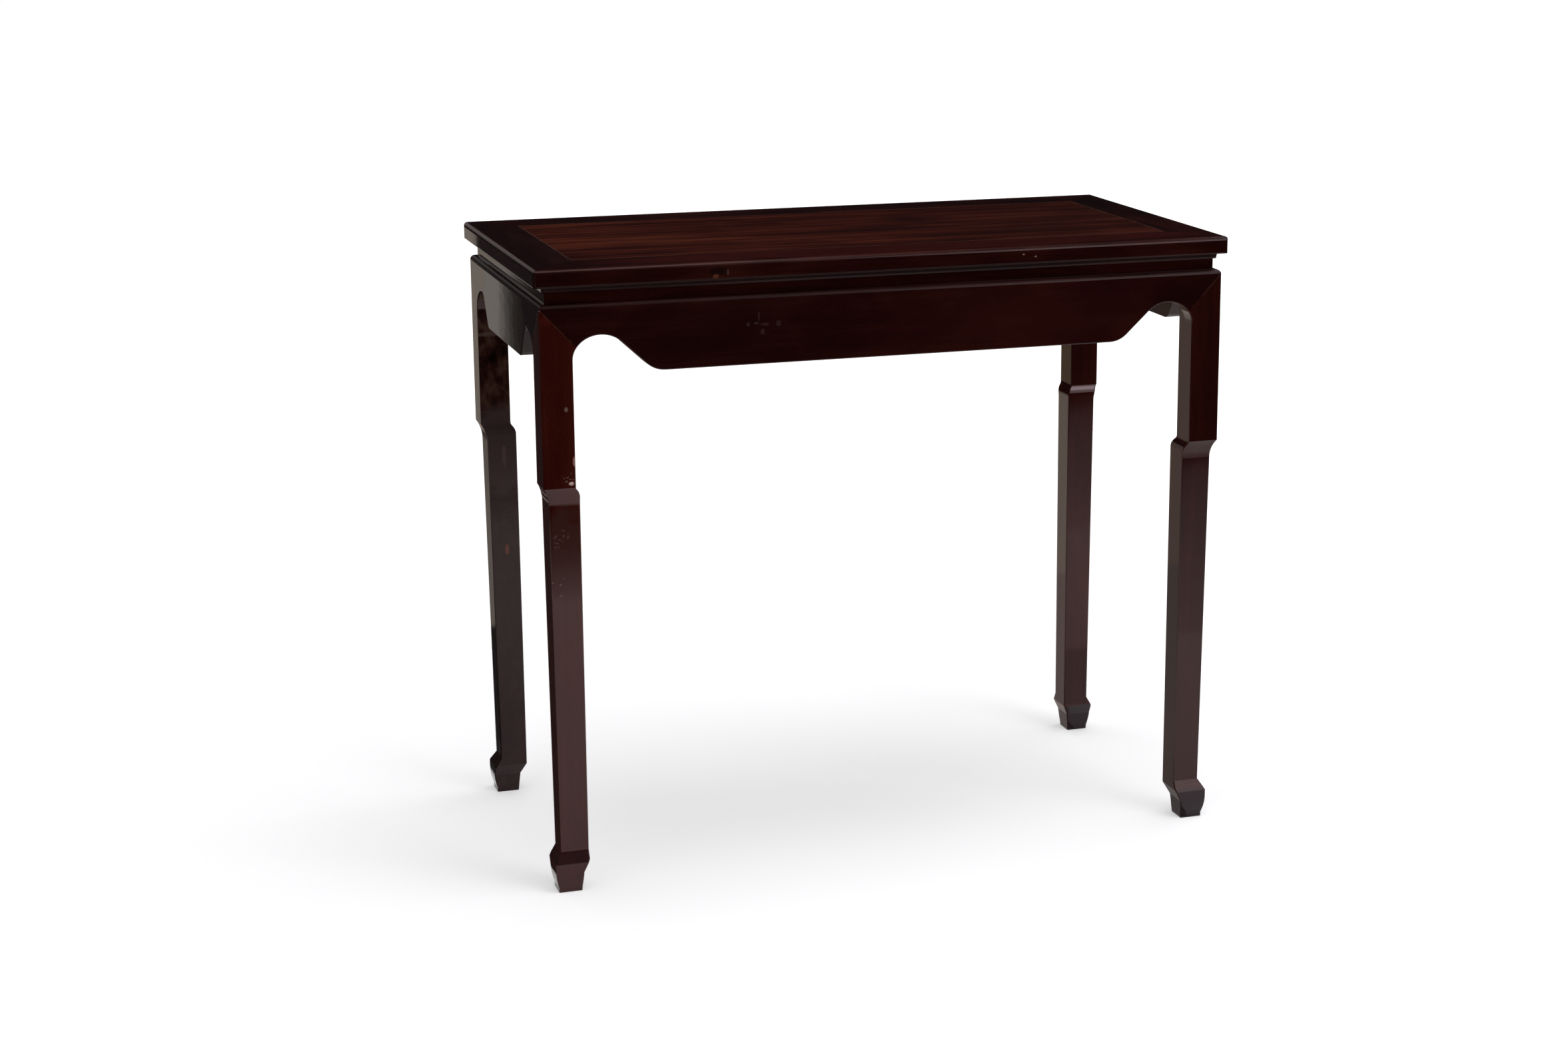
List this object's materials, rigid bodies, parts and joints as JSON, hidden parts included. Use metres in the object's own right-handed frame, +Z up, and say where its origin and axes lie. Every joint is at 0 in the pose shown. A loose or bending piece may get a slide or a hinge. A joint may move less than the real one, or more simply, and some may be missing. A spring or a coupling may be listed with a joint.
{
  "type": "waisted side table",
  "caption": "Tall rectangular side table in dark hardwood with a mitred frame top, recessed waist, scrolled aprons and stepped square legs on small hoof feet, to stand things on.",
  "frame": {"origin": "on the floor, under the middle of the top", "axes": "+X along the table to its right end, +Y to its back, +Z up; the front is -Y"},
  "size_m": [0.98, 0.495, 0.853],
  "materials": {
    "frame_wood": "polished dark reddish-brown hardwood",
    "panel_wood": "polished reddish-brown hardwood with lengthwise grain",
    "waist_wood": "polished dark reddish-brown hardwood",
    "apron_wood": "polished dark reddish-brown hardwood",
    "leg_wood": "polished dark reddish-brown hardwood",
    "batten_wood": "planed dark hardwood, unpolished",
    "peg_wood": "planed hardwood, unpolished"
  },
  "bodies": {
    "root": {"frame_rail_front": "frame_wood", "frame_rail_back": "frame_wood", "frame_rail_left": "frame_wood", "frame_rail_right": "frame_wood", "top_panel": "panel_wood", "panel_batten_1": "batten_wood", "panel_batten_2": "batten_wood", "panel_batten_3": "batten_wood", "waist_front": "waist_wood", "waist_back": "waist_wood", "waist_left": "waist_wood", "waist_right": "waist_wood", "apron_front": "apron_wood", "apron_back": "apron_wood", "apron_left": "apron_wood", "apron_right": "apron_wood", "apron_keys": "peg_wood", "leg_front_left": "leg_wood", "leg_front_right": "leg_wood", "leg_back_left": "leg_wood", "leg_back_right": "leg_wood", "frame_pegs": "peg_wood"}
  },
  "joints": []
}
